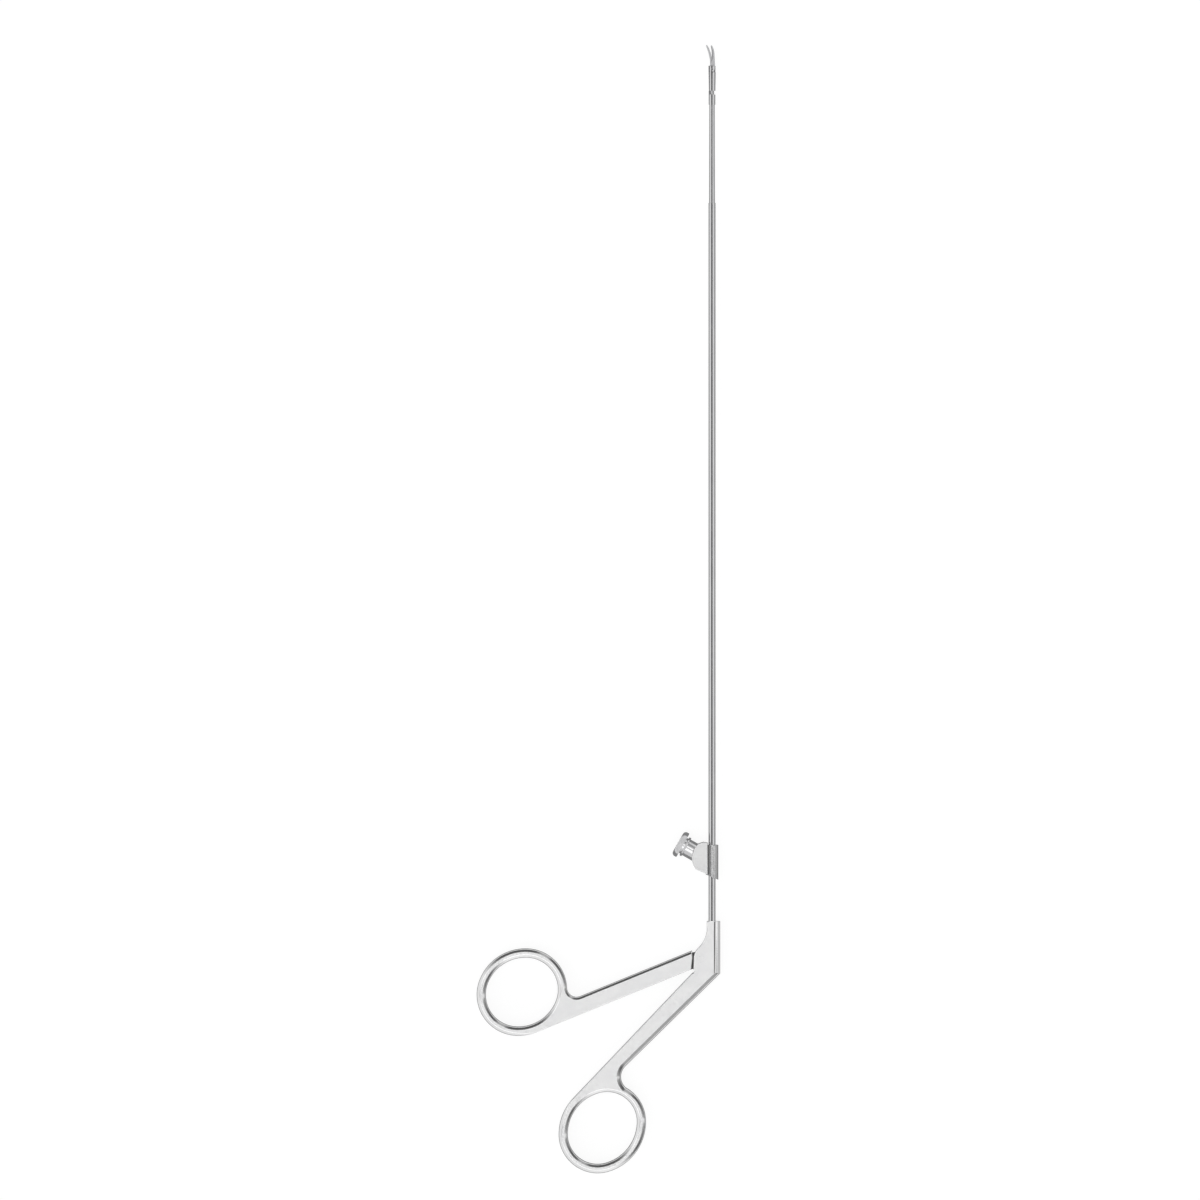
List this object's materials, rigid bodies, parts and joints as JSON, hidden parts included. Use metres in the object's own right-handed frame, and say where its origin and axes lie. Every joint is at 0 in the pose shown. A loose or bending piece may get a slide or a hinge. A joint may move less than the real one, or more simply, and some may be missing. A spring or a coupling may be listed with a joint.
{
  "type": "microlaryngeal scissors",
  "caption": "Slim ring-handled scissors with a long flushed tube shaft and small side-curved blades for surgery on the larynx.",
  "frame": {"origin": "on the axis of the handle's pivot pin, in the plane of the underside that the instrument rests on", "axes": "+Y along the shaft towards the blades, +X towards the back of the handle, away from the finger rings, +Z out of the handle's upper face, along the pivot pin"},
  "size_m": [0.0695, 0.3219, 0.0052],
  "materials": {
    "satin_steel": "satin, blasted flats with polished edges",
    "polished_steel": "mirror polished",
    "blade_steel": "fine ground",
    "hard_steel": "ground",
    "seal_rubber": "matt silicone"
  },
  "bodies": {
    "frame": {"fixed_handle": "satin_steel", "handle_pin": "satin_steel", "shaft_tube": "polished_steel", "front_tube": "polished_steel", "jaw_head": "polished_steel", "jaw_pin": "hard_steel", "guide_bush": "hard_steel", "rod_seal": "seal_rubber", "port_saddle": "polished_steel", "port_connector": "polished_steel"},
    "moving": {"moving_handle": "satin_steel"},
    "rod": {"actuating_rod": "hard_steel", "rod_end": "hard_steel", "rod_end_pin": "hard_steel", "rod_fork": "hard_steel", "drive_pin": "hard_steel"},
    "front_jaw": {"front_blade": "blade_steel"},
    "rear_jaw": {"rear_blade": "blade_steel"}
  },
  "joints": [
    {"name": "squeeze", "type": "hinge", "parent": "frame", "child": "moving", "pos_m": [0, 0, 0.0026], "axis": [0, 0, 1], "range_deg": [0, 11]},
    {"name": "push", "type": "slide", "parent": "frame", "child": "rod", "axis": [0, 1, 0], "range_m": [0, 0.00064]},
    {"name": "front_cut", "type": "hinge", "parent": "frame", "child": "front_jaw", "pos_m": [0.0033, 0.2539, 0.0026], "axis": [0, 0, 1], "range_deg": [0, 6]},
    {"name": "rear_cut", "type": "hinge", "parent": "frame", "child": "rear_jaw", "pos_m": [0.0033, 0.2539, 0.0026], "axis": [0, 0, 1], "range_deg": [-6, 0]}
  ],
  "couplings": [
    {"joint": "push", "follows": "squeeze", "m_per_rad": 0.0033335},
    {"joint": "front_cut", "follows": "squeeze", "ratio": 0.54545},
    {"joint": "rear_cut", "follows": "squeeze", "ratio": -0.54545}
  ]
}
